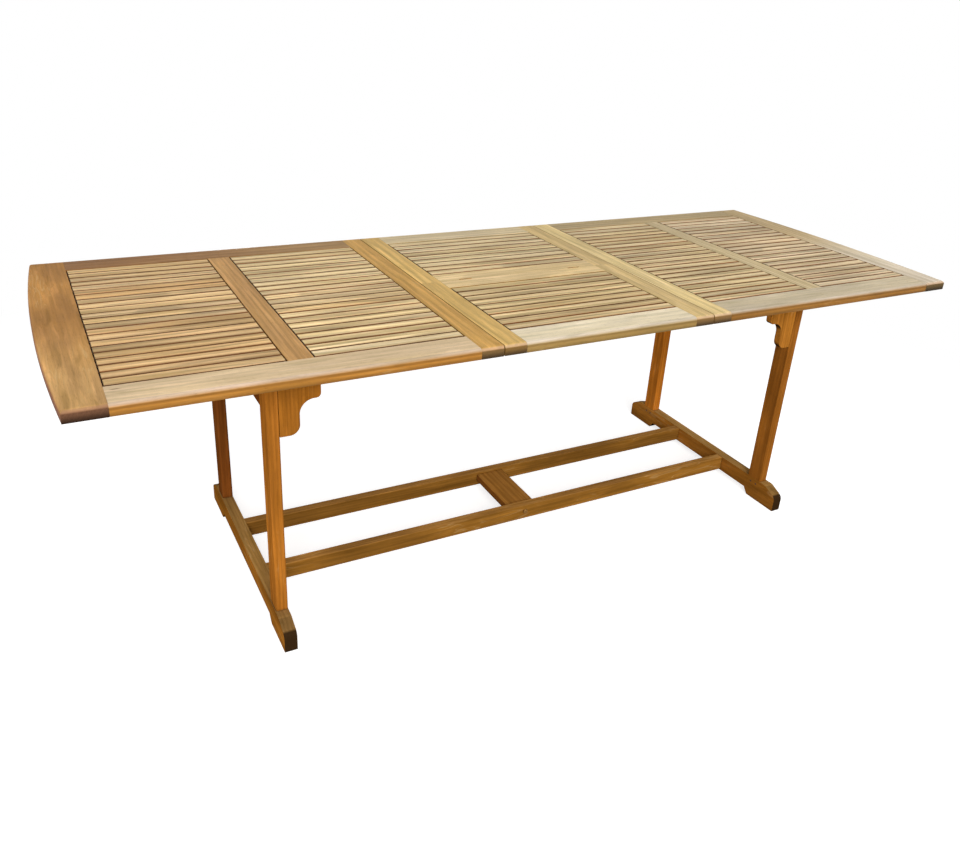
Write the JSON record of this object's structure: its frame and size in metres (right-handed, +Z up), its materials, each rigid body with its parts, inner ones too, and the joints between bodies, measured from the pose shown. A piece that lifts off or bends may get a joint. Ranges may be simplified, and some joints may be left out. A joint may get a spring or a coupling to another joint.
{
  "type": "extending table",
  "caption": "Slatted wooden trestle table that extends: sliding bow-ended tops part, and a folding butterfly leaf swings up between them.",
  "frame": {"origin": "on the floor under the middle of the extended table", "axes": "+X along the table, -Y towards the picture's near long side, +Z up"},
  "size_m": [2.3998, 0.9, 0.7414],
  "materials": {
    "frame_wood": "oiled teak",
    "slats": "oiled teak",
    "base_wood": "oiled teak",
    "dark_wood_pins": "end grain",
    "brass": "plain",
    "steel": "zinc plated"
  },
  "bodies": {
    "base": {"front_slide_rail": "base_wood", "front_stretcher": "base_wood", "left_foot": "base_wood", "left_front_bracket": "base_wood", "left_front_leg": "base_wood", "left_pivot_bar": "base_wood", "left_rear_bracket": "base_wood", "left_rear_leg": "base_wood", "left_trestle_rail": "base_wood", "leg_pins": "dark_wood_pins", "pivot_bolts": "steel", "rear_slide_rail": "base_wood", "rear_stretcher": "base_wood", "right_foot": "base_wood", "right_front_bracket": "base_wood", "right_front_leg": "base_wood", "right_pivot_bar": "base_wood", "right_rear_bracket": "base_wood", "right_rear_leg": "base_wood", "right_trestle_rail": "base_wood", "stop_pins": "steel", "stretcher_tie": "base_wood", "tie_bolts": "brass"},
    "left_top": {"left_end_rail": "frame_wood", "left_front_runner": "base_wood", "left_front_side_rail": "frame_wood", "left_inner_rail": "frame_wood", "left_inner_slats": "slats", "left_middle_rail": "frame_wood", "left_outer_slats": "slats", "left_rear_runner": "base_wood", "left_rear_side_rail": "base_wood"},
    "right_top": {"right_end_rail": "frame_wood", "right_front_runner": "base_wood", "right_front_side_rail": "frame_wood", "right_inner_rail": "frame_wood", "right_inner_slats": "slats", "right_middle_rail": "frame_wood", "right_outer_slats": "slats", "right_rear_runner": "base_wood", "right_rear_side_rail": "base_wood"},
    "rear_leaf": {"leaf_hinge_pins": "brass", "left_pivot_ear": "base_wood", "rear_leaf_fold_rail": "base_wood", "rear_leaf_hinge_plates": "brass", "rear_leaf_left_rail": "base_wood", "rear_leaf_outer_rail": "base_wood", "rear_leaf_right_rail": "base_wood", "rear_leaf_slats": "slats", "right_pivot_ear": "base_wood"},
    "front_leaf": {"front_leaf_fold_rail": "frame_wood", "front_leaf_hinge_plates": "brass", "front_leaf_left_rail": "frame_wood", "front_leaf_outer_rail": "frame_wood", "front_leaf_right_rail": "frame_wood", "front_leaf_slats": "slats"}
  },
  "joints": [
    {"name": "left_top_slide", "type": "slide", "parent": "base", "child": "left_top", "axis": [-1, 0, 0], "range_m": [0, 0.06]},
    {"name": "right_top_slide", "type": "slide", "parent": "base", "child": "right_top", "axis": [1, 0, 0], "range_m": [0, 0.06]},
    {"name": "leaf_flip", "type": "hinge", "parent": "base", "child": "rear_leaf", "pos_m": [0, 0.112, 0.6672], "axis": [1, 0, 0], "range_deg": [0, 90]},
    {"name": "leaf_fold", "type": "hinge", "parent": "rear_leaf", "child": "front_leaf", "pos_m": [0, 0, 0.7403], "axis": [1, 0, 0], "range_deg": [-180, 0]}
  ],
  "couplings": [
    {"joint": "leaf_fold", "follows": "leaf_flip", "ratio": -2}
  ]
}
